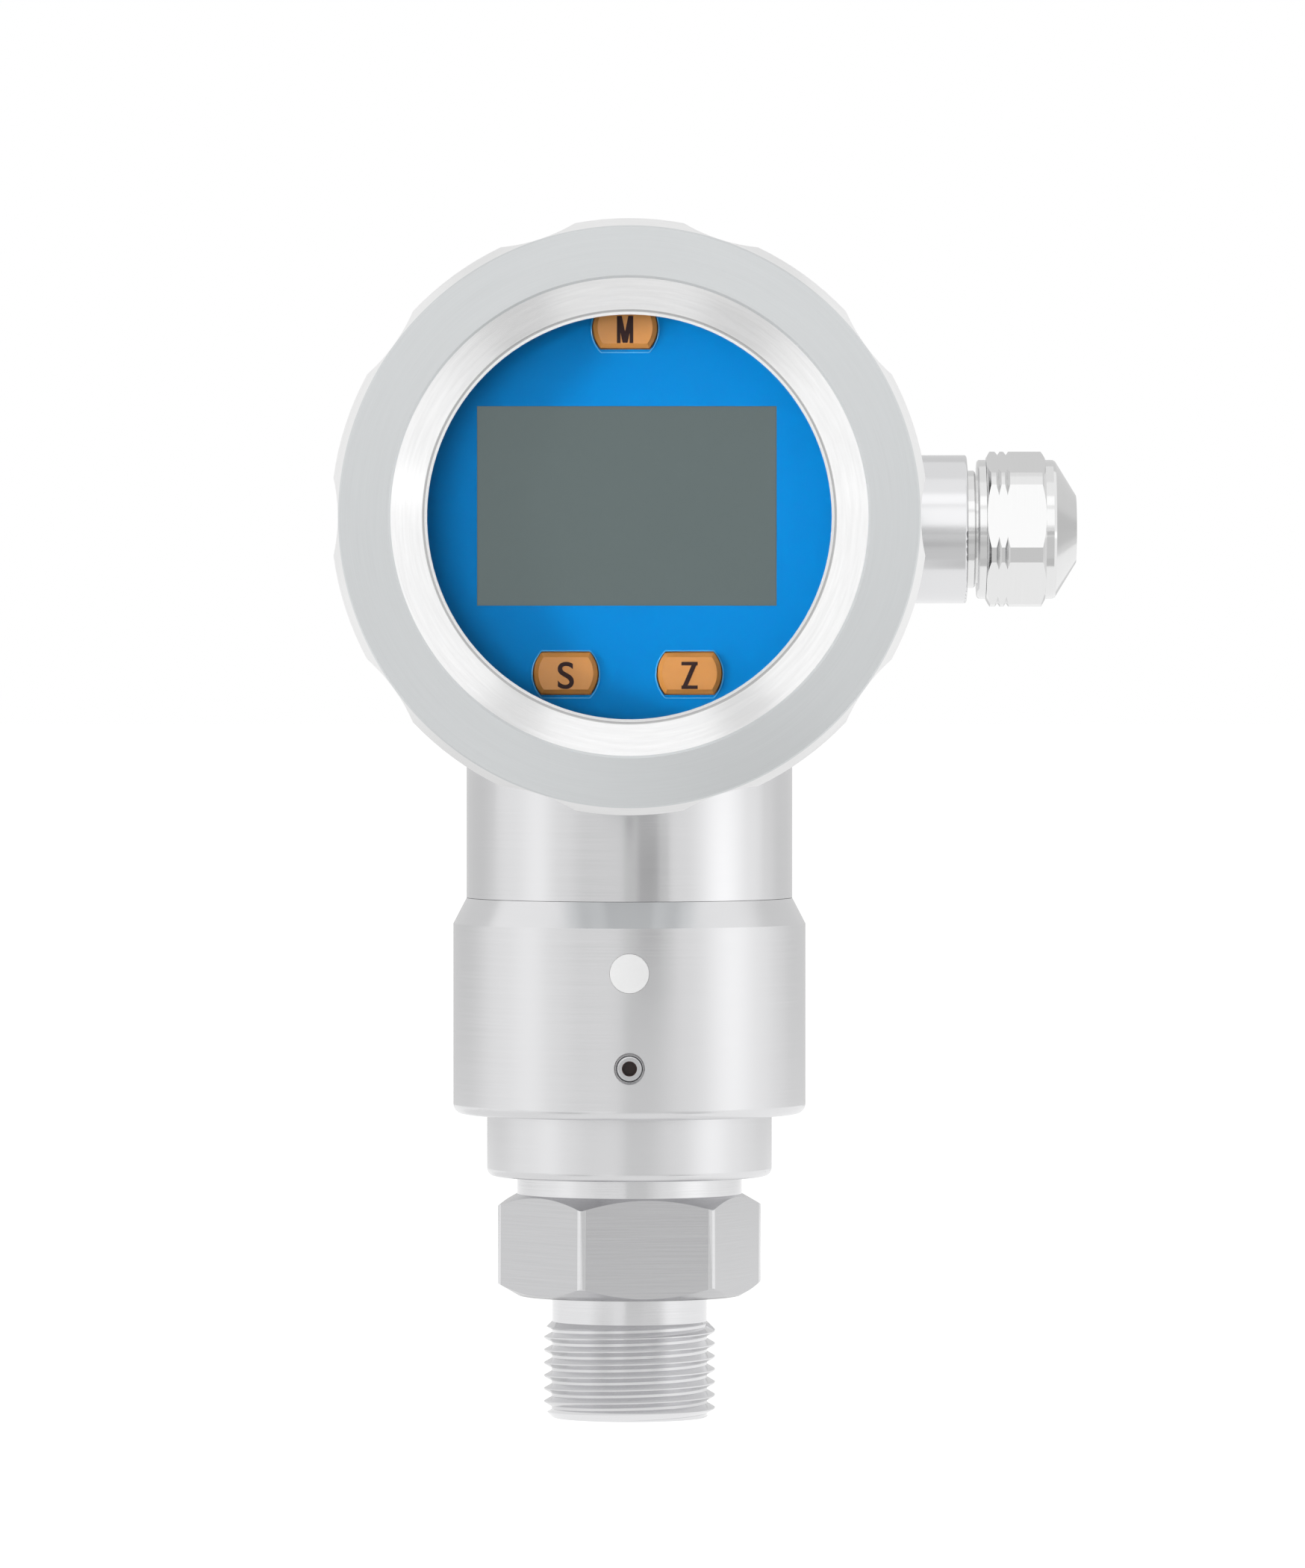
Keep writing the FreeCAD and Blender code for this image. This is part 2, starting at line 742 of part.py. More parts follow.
def key_section(margin, low, high, right, up):
    """The keys' shape: a round bar with a flat above and below, each grown by the margin."""
    bar = rod(key_d + 2 * margin, low, high, right, up)
    return bar.common(block(2 * key_d, key_flats + 2 * margin, low, high, right, up))


def face_plate():
    """Moulded face: a disc with a skirt, a window for the display and a hole for each key."""
    face = turned([
        (0, face_back), (face_d / 2 - face_skirt_wall, face_back),
        (face_d / 2 - face_skirt_wall, face_front - face_skirt_height),
        (face_d / 2, face_front - face_skirt_height), (face_d / 2, face_front, -face_edge_bevel),
        (0, face_front)])
    cuts = [block(lcd_width, lcd_height, face_back - overrun, face_front + overrun, lcd_right, lcd_up)]
    for right, up in key_places.values():
        cuts.append(key_section(key_clearance, face_back - overrun, face_front + overrun, right, up))
    cuts.extend(around(screw_hole(screw_clearance, face_back, face_front), pillar_count, pillar_angle))
    return in_head(face.cut(cuts))


def face_screws():
    """Small slotted screws through face and board into the pillars, under the cover's rim."""
    head_top = face_front + face_screw_head_height
    head = rod(face_screw_head_d, face_front, head_top, pillar_circle_d / 2)
    shank = rod(face_screw_d, display_board_back - face_screw_grip, face_front, pillar_circle_d / 2)
    slot = block(
        face_screw_head_d, screw_slot, head_top - face_screw_head_height / 2, head_top,
        pillar_circle_d / 2)
    return in_head(Part.Compound(around(head.fuse(shank).cut(slot), pillar_count, pillar_angle)))


def key(right, up):
    """Key: a bevelled cap in the face's hole, a flange behind the face and a stem over the switch."""
    section = key_section(0, face_back, key_top, right, up)
    bevel_sides = []
    for direction in (1, -1):
        slope = Part.makePolygon([
            Vector(right - key_d, up + direction * key_flats / 2, key_top - key_bevel),
            Vector(right - key_d, up + direction * (key_flats / 2 - key_bevel), key_top),
            Vector(right - key_d, up + direction * key_flats / 2, key_top),
            Vector(right - key_d, up + direction * key_flats / 2, key_top - key_bevel)])
        bevel_sides.append(Part.Face(slope).extrude(Vector(2 * key_d, 0, 0)))
    cone = turned([
        (key_d / 2, key_top - key_bevel), (key_d / 2 + overrun, key_top - key_bevel),
        (key_d / 2 + overrun, key_top), (key_d / 2 - key_bevel, key_top)])
    cone.translate(Vector(right, up, 0))
    cap = section.cut(bevel_sides + [cone])
    flange = key_section(key_flange_margin, face_back - key_flange_height, face_back - face_gap, right, up)
    link = key_section(0, face_back - face_gap, face_back, right, up)
    stem_end = display_board_front + switch_height + switch_plunger_height + key_travel + face_gap
    stem = rod(key_stem_d, stem_end, face_back - key_flange_height, right, up)
    return in_head(cap.fuse([link, flange, stem]).removeSplitter())


def front_cover():
    """Screw-on cover: a ring with ten grip lobes, a conical bezel and a lip that holds the window."""
    rim_r = cover_d / 2
    ring = turned([
        (aperture_d / 2, lip_back), (aperture_d / 2, lip_front), (bezel_inner_d / 2, lip_front),
        (bezel_inner_d / 2, bezel_bottom), (bezel_outer_d / 2, cover_front),
        (rim_r - cover_edge_chamfer, cover_front), (rim_r, cover_front - cover_edge_chamfer),
        (rim_r, cover_back + cover_rear_chamfer), (rim_r - cover_rear_chamfer, cover_back),
        (cover_bore_r + cover_rear_chamfer, cover_back), (cover_bore_r, cover_back + cover_rear_chamfer),
        (cover_bore_r, retainer_back), (retainer_d / 2 + thread_fit, retainer_back),
        (retainer_d / 2 + thread_fit, retainer_front), (glass_d / 2 + window_gap, retainer_front),
        (glass_d / 2 + window_gap, lip_back)])
    flute_axis = rim_r - flute_depth + flute_radius
    flute = rod(2 * flute_radius, cover_back - overrun, cover_front + overrun, flute_axis)
    return in_head(ring.cut(around(flute, lobe_count)))


def window_glass():
    """Round flat window with its edges eased."""
    edge = glass_d / 2
    return in_head(turned([
        (0, glass_back), (edge - glass_edge, glass_back), (edge, glass_back + glass_edge),
        (edge, glass_front - glass_edge), (edge - glass_edge, glass_front), (0, glass_front)]))


def window_gasket():
    """Flat rubber ring between the window and its retaining ring."""
    return in_head(tube(glass_d, gasket_bore_d, gasket_back, glass_back))


def window_retaining_ring():
    """Threaded ring that clamps the window in the cover, slotted across for a key."""
    ring = tube(retainer_d, retainer_bore_d, retainer_back, retainer_front)
    return in_head(ring.cut(block(
        retainer_d, retainer_slot, retainer_back, retainer_back + retainer_slot_depth)))


def gland_body():
    """Gland's body: entry thread, shoulder, flange and the stem that the nut screws onto."""
    return in_gland(turned([
        (gland_bore_d / 2, boss_reach - gland_entry_length),
        (gland_hole_r - thread_fit, boss_reach - gland_entry_length),
        (gland_hole_r - thread_fit, boss_reach), (gland_shoulder_d / 2, boss_reach),
        (gland_shoulder_d / 2, boss_reach + gland_shoulder_length, -gland_edge_bevel),
        (gland_waist_d / 2, boss_reach + gland_shoulder_length), (gland_waist_d / 2, gland_face),
        (gland_flange_d / 2, gland_face, -gland_edge_bevel), (gland_flange_d / 2, gland_stem_start),
        (gland_stem_d / 2, gland_stem_start), (gland_stem_d / 2, gland_stem_end),
        (seal_room_d / 2, gland_stem_end), (seal_room_d / 2, seal_start),
        (gland_bore_d / 2, seal_start)]))


def boss_o_ring():
    """Rubber ring in the mouth of the boss, under the gland's shoulder."""
    inner = gland_hole_r
    outer = gland_hole_r + boss_seal_section + seal_slack
    return in_gland(seal_ring(inner, outer, boss_reach - (boss_seal_section + seal_slack) / 2))


def gland_seal():
    """Rubber sleeve that grips the cable."""
    sleeve_r = seal_room_d / 2 - window_gap
    return in_gland(turned([
        (cable_hole_d / 2, seal_start + seal_slack), (sleeve_r, seal_start + seal_slack),
        (sleeve_r, seal_end - seal_bevel), (sleeve_r - seal_bevel, seal_end), (cable_hole_d / 2, seal_end)]))


def gland_thrust_ring():
    """Slippery washer that lets the nut turn on the seal without twisting it."""
    ring_r = nut_bore_r - 2 * window_gap
    low = seal_end + face_gap
    return in_gland(tube(2 * ring_r, cable_hole_d, low, low + thrust_ring_length))


def gland_nut():
    """Dome nut: a hexagon with turned corners and two grip grooves, then a ring and a conical nose."""
    corner_r = nut_corner_d / 2
    end_r = nut_across_flats / 2
    slope = (corner_r - end_r) * math.tan(math.radians(30))
    hex_part = hexagon(nut_across_flats, nut_start, nut_hex_end, nut_hex_angle).common(turned([
        (0, nut_start), (end_r, nut_start), (corner_r, nut_start + slope),
        (corner_r, nut_hex_end - slope), (end_r, nut_hex_end), (0, nut_hex_end)]))
    dome = turned([
        (0, nut_start), (nut_mouth_d / 2, nut_start), (nut_mouth_d / 2, nut_hex_end),
        (gland_flange_d / 2, nut_hex_end), (gland_flange_d / 2, nut_ring_end, -gland_edge_bevel),
        (nut_nose_d / 2, nut_end),
        (0, nut_end)])
    thrust_end = seal_end + face_gap + thrust_ring_length + face_gap
    hollow = turned([
        (0, nut_start), (nut_bore_r, nut_start), (nut_bore_r, thrust_end),
        (nut_hole_d / 2, thrust_end + nut_hole_bevel), (nut_hole_d / 2, nut_end), (0, nut_end)])
    grooves = []
    for place in nut_groove_places:
        middle = nut_start + place
        grooves.append(turned([
            (corner_r - nut_groove_depth, middle), (corner_r, middle - nut_groove_width / 2),
            (corner_r + overrun, middle - nut_groove_width / 2),
            (corner_r + overrun, middle + nut_groove_width / 2), (corner_r, middle + nut_groove_width / 2)]))
    return in_gland(hex_part.fuse(dome).cut([hollow] + grooves).removeSplitter())


pieces = {
    "process_connection": process_connection(),
    "sensor_body": sensor_body(),
    "grub_screw": grub_screw(),
    "vent_disc": vent_disc(),
    "pressure_cell": pressure_cell(),
    "cell_o_ring": cell_o_ring(),
    "cell_clamp_ring": cell_clamp_ring(),
    "cell_pins": cell_pins(),
    "amplifier_spacers": amplifier_spacers(),
    "amplifier_board": amplifier_board(),
    "sensor_lead": sensor_lead(),
    "housing": housing(),
    "neck_o_ring": neck_o_ring(),
    "cover_o_ring": cover_o_ring(),
    "rear_pillars": rear_pillars(),
    "main_board": main_board(),
    "terminal_block": terminal_block(),
    "terminal_screws": terminal_screws(),
    "lead_socket": lead_socket(),
    "display_pillars": display_pillars(),
    "display_ribbon": display_ribbon(),
    "display_board": display_board(),
    "key_switches": key_switches(),
    "lcd": lcd(),
    "face_plate": face_plate(),
    "face_screws": face_screws(),
    "front_cover": front_cover(),
    "window_glass": window_glass(),
    "window_gasket": window_gasket(),
    "window_retaining_ring": window_retaining_ring(),
    "gland_body": gland_body(),
    "boss_o_ring": boss_o_ring(),
    "gland_seal": gland_seal(),
    "gland_thrust_ring": gland_thrust_ring(),
    "gland_nut": gland_nut(),
}
for key_name, (key_right, key_up) in key_places.items():
    pieces[key_name] = key(key_right, key_up)

os.makedirs("parts", exist_ok=True)
for name, shape in pieces.items():
    shape.exportStep(f"parts/{name}.step")
    print(f"{name}: {len(shape.Solids)} solid, {shape.Volume:.1f} mm3, valid {shape.isValid()}")
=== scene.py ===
import math

import bpy
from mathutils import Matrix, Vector


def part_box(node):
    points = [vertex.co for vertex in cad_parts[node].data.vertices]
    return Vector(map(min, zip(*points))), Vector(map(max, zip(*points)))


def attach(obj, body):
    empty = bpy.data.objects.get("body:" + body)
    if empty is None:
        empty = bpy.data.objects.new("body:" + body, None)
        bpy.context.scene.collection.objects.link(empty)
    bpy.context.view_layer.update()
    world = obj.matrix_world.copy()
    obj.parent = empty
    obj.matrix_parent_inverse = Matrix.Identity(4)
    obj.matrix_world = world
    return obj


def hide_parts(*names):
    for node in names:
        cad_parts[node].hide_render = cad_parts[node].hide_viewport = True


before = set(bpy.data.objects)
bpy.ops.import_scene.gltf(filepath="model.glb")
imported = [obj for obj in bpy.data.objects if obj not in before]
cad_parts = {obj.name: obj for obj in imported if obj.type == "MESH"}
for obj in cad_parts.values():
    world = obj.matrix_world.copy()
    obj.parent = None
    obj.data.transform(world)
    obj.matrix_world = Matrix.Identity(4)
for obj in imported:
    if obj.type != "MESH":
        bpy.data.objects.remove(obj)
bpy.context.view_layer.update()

# ---------------------------------------------------------------- camera
# The instrument stands upright and is looked at straight on through a long lens, from well back
# and from just below the middle of its display.
MM = 0.001
camera_distance = 1400 * MM
camera_height = 100 * MM
aim_height = 74.1 * MM
view_height = 183.4 * MM
sensor_size = 36.0
axis_offset = 2.7 * MM

camera_data = bpy.data.cameras.new("camera")
camera_data.sensor_width = sensor_size
camera_data.lens = sensor_size * camera_distance / view_height
camera_data.shift_x = axis_offset / view_height
camera = bpy.data.objects.new("camera", camera_data)
bpy.context.collection.objects.link(camera)
camera.location = (0, -camera_distance, camera_height)
aim = Vector((0, 0, aim_height)) - camera.location
camera.rotation_euler = aim.to_track_quat("-Z", "Y").to_euler()
bpy.context.scene.camera = camera


# ---------------------------------------------------------------- process connection
# Turned and milled from one stainless bar: a male M20 thread with a run-out groove, a spanner
# hexagon and a shoulder. It is bare metal with fine tool lines and screws into the process.
def new_material(name):
    """An empty node material: returns it, its node adder, its linker and its surface shader."""
    material = bpy.data.materials.new(name)
    material.use_nodes = True
    tree = material.node_tree
    tree.nodes.clear()
    shader = tree.nodes.new("ShaderNodeBsdfPrincipled")
    tree.links.new(
        shader.outputs["BSDF"], tree.nodes.new("ShaderNodeOutputMaterial").inputs["Surface"])
    return material, tree.nodes.new, tree.links.new, shader


def maths(add, link, operation, first, second):
    """A maths node on two inputs, each of them a socket or a number."""
    node = add("ShaderNodeMath")
    node.operation = operation
    for socket, value in zip(node.inputs, (first, second)):
        if isinstance(value, (int, float)):
            socket.default_value = value
        else:
            link(value, socket)
    return node.outputs["Value"]


def lathe_space(add, link, axis, centre):
    """Direction round an axis, distance from it and distance along it, for a point of the piece.

    Along axis Y the distance counts towards the front.
    """
    coordinates = add("ShaderNodeTexCoord")
    placed = add("ShaderNodeMapping")
    placed.vector_type = "TEXTURE"
    placed.inputs["Location"].default_value = centre
    placed.inputs["Rotation"].default_value = {
        "X": (0, math.pi / 2, 0), "Y": (math.pi / 2, 0, 0), "Z": (0, 0, 0)}[axis]
    link(coordinates.outputs["Object"], placed.inputs["Vector"])
    split = add("ShaderNodeSeparateXYZ")
    link(placed.outputs["Vector"], split.inputs["Vector"])
    across = add("ShaderNodeCombineXYZ")
    link(split.outputs["X"], across.inputs["X"])
    link(split.outputs["Y"], across.inputs["Y"])
    radius = add("ShaderNodeVectorMath")
    radius.operation = "LENGTH"
    link(across.outputs["Vector"], radius.inputs[0])
    direction = add("ShaderNodeVectorMath")
    direction.operation = "NORMALIZE"
    link(across.outputs["Vector"], direction.inputs[0])
    return direction.outputs["Vector"], radius.outputs["Value"], split.outputs["Z"]


def drawn_noise(add, link, direction, depth, pitch, around=1.0):
    """Noise drawn out round the axis, as a tool leaves it: fine only across the tool's path."""
    parts = add("ShaderNodeSeparateXYZ")
    link(direction, parts.inputs["Vector"])
    drawn = add("ShaderNodeCombineXYZ")
    link(maths(add, link, "MULTIPLY", parts.outputs["X"], around), drawn.inputs["X"])
    link(maths(add, link, "MULTIPLY", parts.outputs["Y"], around), drawn.inputs["Y"])
    link(maths(add, link, "DIVIDE", depth, pitch), drawn.inputs["Z"])
    noise = add("ShaderNodeTexNoise")
    noise.inputs["Scale"].default_value = 1.0
    noise.inputs["Detail"].default_value = 3.0
    link(drawn.outputs["Vector"], noise.inputs["Vector"])
    return noise.outputs["Fac"]


def ranged(add, link, value, low, high):
    """A value of 0 to 1 carried over to the range from low to high."""
    node = add("ShaderNodeMapRange")
    node.inputs["To Min"].default_value = low
    node.inputs["To Max"].default_value = high
    link(value, node.inputs["Value"])
    return node.outputs["Result"]


def two_tones(add, link, factor, colour, spread):
    """A colour that goes from a little darker to a little lighter with the factor."""
    mix = add("ShaderNodeMix")
    mix.data_type = "RGBA"
    mix.inputs["A"].default_value = [c * (1 - spread) for c in colour] + [1]
    mix.inputs["B"].default_value = [min(1, c * (1 + spread)) for c in colour] + [1]
    link(factor, mix.inputs["Factor"])
    return mix.outputs["Result"]


def raised(add, link, shader, height, distance):
    """Lets a height pattern stand out of the surface by a distance."""
    bump = add("ShaderNodeBump")
    bump.inputs["Distance"].default_value = distance
    link(height, bump.inputs["Height"])
    link(bump.outputs["Normal"], shader.inputs["Normal"])


def brushed_round(add, link, shader, axis, anisotropy):
    """Makes a surface bare metal whose gloss is drawn out round an axis."""
    tangent = add("ShaderNodeTangent")
    tangent.direction_type = "RADIAL"
    tangent.axis = axis
    link(tangent.outputs["Tangent"], shader.inputs["Tangent"])
    shader.inputs["Anisotropic"].default_value = anisotropy
    shader.inputs["Anisotropic Rotation"].default_value = 0.25
    shader.inputs["Metallic"].default_value = 1.0


def turned_metal(name, colour, roughness, axis="Z", centre=(0, 0, 0), pitch=0.12 * MM,
                 relief=0.003 * MM, anisotropy=0.5, spread=0.05):
    """Metal as the lathe leaves it: the tool lines vary its shade, its gloss and its height."""
    material, add, link, shader = new_material(name)
    direction, _, along = lathe_space(add, link, axis, centre)
    lines = drawn_noise(add, link, direction, along, pitch)
    brushed_round(add, link, shader, axis, anisotropy)
    link(ranged(add, link, lines, roughness * 0.8, roughness * 1.2), shader.inputs["Roughness"])
    link(two_tones(add, link, lines, colour, spread), shader.inputs["Base Color"])
    raised(add, link, shader, lines, relief)
    return material


def only(obj):
    """Selects one object alone and makes it the active one."""
    bpy.ops.object.select_all(action="DESELECT")
    obj.select_set(True)
    bpy.context.view_layer.objects.active = obj


def select_vertices(obj, chosen):
    """Leaves an object in edit mode with only the vertices selected whose places are chosen."""
    only(obj)
    bpy.ops.object.mode_set(mode="EDIT")
    bpy.ops.mesh.select_mode(type="VERT")
    bpy.ops.mesh.select_all(action="DESELECT")
    bpy.ops.object.mode_set(mode="OBJECT")
    for vertex in obj.data.vertices:
        vertex.select = chosen(vertex.co)
    bpy.ops.object.mode_set(mode="EDIT")


def finish_mesh(obj, name, material):
    """Names a finished piece, paints it and smooths all but its edges."""
    only(obj)
    obj.name = name
    obj.data.name = name
    obj.data.materials.clear()
    obj.data.materials.append(material)
    bpy.ops.object.shade_smooth_by_angle(angle=math.radians(30))


def use_modifier(obj, kind, **settings):
    """Adds a modifier with its settings and applies it."""
    only(obj)
    modifier = obj.modifiers.new(kind.lower(), kind)
    for key, value in settings.items():
        setattr(modifier, key, value)
    bpy.ops.object.modifier_apply(modifier=modifier.name)


def merged_copy(node, name):
    """A copy of a carried-over node with its loose triangles joined up."""
    obj = bpy.data.objects.new(name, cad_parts[node].data.copy())
    bpy.context.collection.objects.link(obj)
    only(obj)
    bpy.ops.mesh.customdata_custom_splitnormals_clear()
    bpy.ops.object.mode_set(mode="EDIT")
    bpy.ops.mesh.select_all(action="SELECT")
    bpy.ops.mesh.remove_doubles(threshold=0.001 * MM)
    bpy.ops.object.mode_set(mode="OBJECT")
    return obj


hexagon_low, hexagon_high = 14.2 * MM, 26.2 * MM
hex_corner_r = 15.3 * MM
hex_edge = 0.14 * MM
connection = merged_copy("process_connection", "process_connection_steel")

# The six upright corners of the hexagon are broken.
bpy.ops.object.mode_set(mode="EDIT")
bpy.ops.mesh.select_all(action="DESELECT")
bpy.ops.object.mode_set(mode="OBJECT")
for edge in connection.data.edges:
    first, second = (connection.data.vertices[i].co for i in edge.vertices)
    upright = (first.xy - second.xy).length < hex_edge / 10
    edge.select = upright and first.xy.length > hex_corner_r and second.xy.length > hex_corner_r
bpy.ops.object.mode_set(mode="EDIT")
bpy.ops.mesh.select_mode(type="EDGE")
bpy.ops.mesh.bevel(offset=hex_edge, segments=2, affect="EDGES")
bpy.ops.object.mode_set(mode="OBJECT")

# The thread's groove: its section is swept up the helix, from below the bar's end to the run-out,
# and closed at both ends. That makes the cutter.
thread_pitch = 1.5 * MM
thread_r = 10.0 * MM
thread_depth = 0.92 * MM
thread_root = 0.30 * MM
thread_half_angle = math.radians(30)
thread_turns = 8
thread_steps = 72
groove_start = -1.15 * MM
cutter_reach = 0.1 * MM
groove_height = thread_depth + cutter_reach
groove_opening = thread_root + 2 * groove_height * math.tan(thread_half_angle)
groove_place = Vector((thread_r - thread_depth / 2 + cutter_reach / 2, 0, groove_start))
bpy.ops.object.select_all(action="DESELECT")
bpy.ops.mesh.primitive_plane_add(
    size=groove_height, location=groove_place, rotation=(math.pi / 2, 0, 0))
cutter = bpy.context.active_object
bpy.ops.object.transform_apply(location=True, rotation=True, scale=True)
bpy.ops.object.mode_set(mode="EDIT")
bpy.ops.transform.resize(
    value=(1, 1, thread_root / groove_height), center_override=groove_place)
bpy.ops.object.mode_set(mode="OBJECT")
select_vertices(cutter, lambda place: place.x > groove_place.x)
bpy.ops.transform.resize(
    value=(1, 1, groove_opening / thread_root), center_override=groove_place)
bpy.ops.object.mode_set(mode="OBJECT")
use_modifier(
    cutter, "SCREW", angle=2 * math.pi, screw_offset=thread_pitch, iterations=thread_turns,
    steps=thread_steps, render_steps=thread_steps, axis="Z", use_normal_calculate=True)
bpy.ops.object.mode_set(mode="EDIT")
bpy.ops.mesh.select_all(action="DESELECT")
bpy.ops.mesh.select_mode(type="EDGE")
bpy.ops.mesh.select_non_manifold()
bpy.ops.mesh.edge_face_add()
bpy.ops.mesh.select_all(action="SELECT")
bpy.ops.mesh.normals_make_consistent(inside=False)
bpy.ops.object.mode_set(mode="OBJECT")
use_modifier(connection, "BOOLEAN", operation="DIFFERENCE", solver="EXACT", object=cutter)
bpy.data.objects.remove(cutter)

thread_steel = turned_metal("thread_steel", (0.78, 0.78, 0.79), 0.14)
hexagon_steel = turned_metal("hexagon_steel", (0.62, 0.62, 0.63), 0.24, spread=0.08)
finish_mesh(connection, "process_connection_steel", thread_steel)
connection.data.materials.append(hexagon_steel)
# The hexagon's broken corners keep the brighter thread steel: a painted highlight along each
# corner.
for face in connection.data.polygons:
    at_highlit_corner = face.center.xy.length > hex_corner_r
    face.material_index = int(hexagon_low < face.center.z < hexagon_high and not at_highlit_corner)
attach(connection, "stem")
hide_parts("process_connection")

# ---------------------------------------------------------------- sensor body
# A collar turned from stainless bar and left as the lathe cut it. It takes the connection from
# below and the neck of the head from above.
def dress(node, material):
    """Gives a carried-over node its material."""
    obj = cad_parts[node]
    obj.data.materials.clear()
    obj.data.materials.append(material)


dress("sensor_body", turned_metal(
    "body_steel", (0.765, 0.765, 0.775), 0.24, pitch=0.2 * MM, relief=0.001 * MM,
    anisotropy=0.35, spread=0.02))

# ---------------------------------------------------------------- locking screw and vent disc
# A hex-socket screw of plain steel locks the head's turn, and its socket is painted near-black,
# a painted shade of its hollow. Above it a flat white filter disc is pressed into the collar.
def mottled(add, link, scale):
    """Noise that is the same in every direction, with so many spots to the metre."""
    coordinates = add("ShaderNodeTexCoord")
    noise = add("ShaderNodeTexNoise")
    noise.inputs["Scale"].default_value = scale
    noise.inputs["Detail"].default_value = 2.0
    link(coordinates.outputs["Object"], noise.inputs["Vector"])
    return noise.outputs["Fac"]


def plastic(name, colour, roughness, grain=0.3 * MM, relief=0.004 * MM, variation=0.04,
            shine=0.5):
    """Moulded plastic or rubber, with a fine grain in its skin and slightly uneven in colour."""
    material, add, link, shader = new_material(name)
    skin = mottled(add, link, 1 / grain)
    link(two_tones(add, link, skin, colour, variation), shader.inputs["Base Color"])
    shader.inputs["Roughness"].default_value = roughness
    shader.inputs["Specular IOR Level"].default_value = shine
    raised(add, link, shader, skin, relief)
    return material


screw_low, screw_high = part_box("grub_screw")
screw_z = (screw_low[2] + screw_high[2]) / 2
socket_r = 0.88 * MM
lock_steel, add, link, shader = new_material("lock_screw_steel")
direction, radius, _ = lathe_space(add, link, "Y", (0, 0, screw_z))
in_socket = maths(add, link, "LESS_THAN", radius, socket_r)
rings = drawn_noise(add, link, direction, radius, 0.05 * MM)
# The socket is painted near-black and not metal: painted shade of the hollow.
socket_shade = add("ShaderNodeMix")
socket_shade.data_type = "RGBA"
socket_shade.inputs["B"].default_value = (0.035, 0.010, 0.008, 1)
link(two_tones(add, link, rings, (0.66, 0.66, 0.67), 0.1), socket_shade.inputs["A"])
link(in_socket, socket_shade.inputs["Factor"])
link(socket_shade.outputs["Result"], shader.inputs["Base Color"])
link(maths(add, link, "SUBTRACT", 1.0, in_socket), shader.inputs["Metallic"])
shader.inputs["Roughness"].default_value = 0.2
dress("grub_screw", lock_steel)
dress("vent_disc", plastic("vent_white", (0.95, 0.95, 0.95), 0.7, variation=0.02))

# ---------------------------------------------------------------- pressure cell and its board
# An oil-filled steel capsule sealed by a rubber ring and held by a slotted steel ring. Its pins
# lead up to a small round board on brass spacers, and a lead runs on up the neck.
cell_steel = turned_metal("cell_steel", (0.62, 0.62, 0.63), 0.24)
rubber = plastic("black_rubber", (0.022, 0.022, 0.022), 0.6)
brass = turned_metal("plain_brass", (0.78, 0.60, 0.30), 0.28, anisotropy=0.2)
board_green = plastic("board_green", (0.012, 0.13, 0.055), 0.35, grain=0.8 * MM, variation=0.15)
dress("pressure_cell", cell_steel)
dress("cell_clamp_ring", cell_steel)
dress("cell_o_ring", rubber)
dress("cell_pins", brass)
dress("amplifier_spacers", brass)
dress("amplifier_board", board_green)
dress("sensor_lead", rubber)

# ---------------------------------------------------------------- housing
# Head, neck and gland boss are one stainless piece, turned all over and polished finer than the
# collar. Rubber rings seal it to the collar, the cover and the gland.
dress("housing", turned_metal(
    "housing_steel", (0.775, 0.775, 0.785), 0.18, pitch=0.15 * MM, relief=0.0005 * MM,
    spread=0.015))
for node in ("neck_o_ring", "cover_o_ring", "boss_o_ring"):
    dress(node, rubber)

# ---------------------------------------------------------------- boards, terminals and pillars
# The main board stands on brass pillars with the field terminals on it. A ribbon joins it to the
# display board, which carries the key switches.
screw_steel = turned_metal("screw_steel", (0.52, 0.52, 0.53), 0.3)
dark_plastic = plastic("dark_plastic", (0.03, 0.03, 0.033), 0.4)
dress("terminal_screws", screw_steel)
dress("face_screws", screw_steel)
for node in ("rear_pillars", "display_pillars"):
    dress(node, brass)
for node in ("main_board", "display_board"):
    dress(node, board_green)
for node in ("lead_socket", "key_switches"):
    dress(node, dark_plastic)
dress("terminal_block", plastic("terminal_green", (0.05, 0.28, 0.10), 0.4))
dress("display_ribbon", plastic("ribbon_grey", (0.35, 0.36, 0.37), 0.4))

# ---------------------------------------------------------------- face, display and key rims
# The face is a smooth blue moulding screwed over the display board. The display is a plain grey
# cell, and a thin clear rim is moulded round each key.
dress("face_plate", plastic(
    "face_blue", (0.0, 0.205, 0.56), 0.5, grain=1.2 * MM, variation=0.02, shine=0.05))
# Most of the display's grey is an even glow, a painted glow that keeps its shading flat.
display_tone = (0.138, 0.172, 0.171)
display_painted_glow = 0.85
display_grey, add, link, shader = new_material("display_grey")
shader.inputs["Base Color"].default_value = [c * (1 - display_painted_glow) for c in display_tone] + [1]
shader.inputs["Emission Color"].default_value = (*display_tone, 1)
shader.inputs["Emission Strength"].default_value = display_painted_glow
shader.inputs["Roughness"].default_value = 0.6
shader.inputs["Specular IOR Level"].default_value = 0.05
dress("lcd", display_grey)

